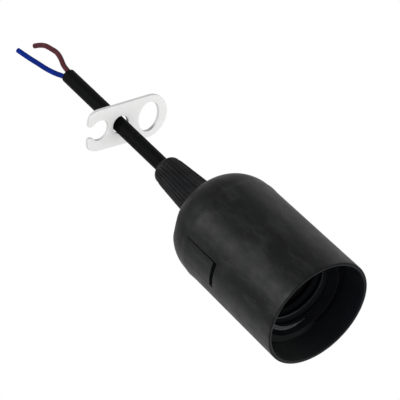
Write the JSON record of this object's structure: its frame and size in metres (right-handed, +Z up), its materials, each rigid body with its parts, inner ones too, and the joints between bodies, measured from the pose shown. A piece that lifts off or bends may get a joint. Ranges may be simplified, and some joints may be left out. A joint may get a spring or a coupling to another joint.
{
  "type": "pendant cord set",
  "caption": "Black screw-cap lamp holder hanging on a short cord with loose core ends, with a ribbed cord-grip nut and a white hanger plate threaded on the cord.",
  "frame": {"origin": "centre of the upper cut end of the cord's jacket, by which the set hangs", "axes": "+Z up along the cord, away from the mouth; +Y towards one of the two latch tongues and the brown core's terminal, -Y towards the other and the blue core's"},
  "size_m": [0.042, 0.0432, 0.1813],
  "materials": {
    "shell_plastic": "satin",
    "nut_plastic": "satin",
    "insert_plastic": "satin",
    "base_plastic": "matt",
    "plate_plastic": "satin",
    "cord_pvc": "satin",
    "blue_pvc": "satin",
    "brown_pvc": "satin",
    "copper": "bare copper",
    "brass": "plain",
    "steel": "zinc plated"
  },
  "bodies": {
    "holder": {"outer_shell": "shell_plastic", "thread_barrel": "insert_plastic", "contact_base": "base_plastic", "centre_contact": "brass", "side_contact": "brass", "live_terminal": "brass", "neutral_terminal": "brass", "live_terminal_screw": "steel", "neutral_terminal_screw": "steel", "live_rivet": "brass", "neutral_rivet": "brass", "insert_screw_1": "steel", "insert_screw_2": "steel", "grip_collet": "nut_plastic", "gland_nut": "nut_plastic", "cord_jacket": "cord_pvc", "blue_core": "blue_pvc", "brown_core": "brown_pvc", "blue_strand": "copper", "brown_strand": "copper"},
    "hanger": {"hanger_plate": "plate_plastic"}
  },
  "joints": [
    {"name": "hanger_slide", "type": "slide", "parent": "holder", "child": "hanger", "axis": [0, 0, 1], "range_m": [-0.026, 0.0276]}
  ]
}
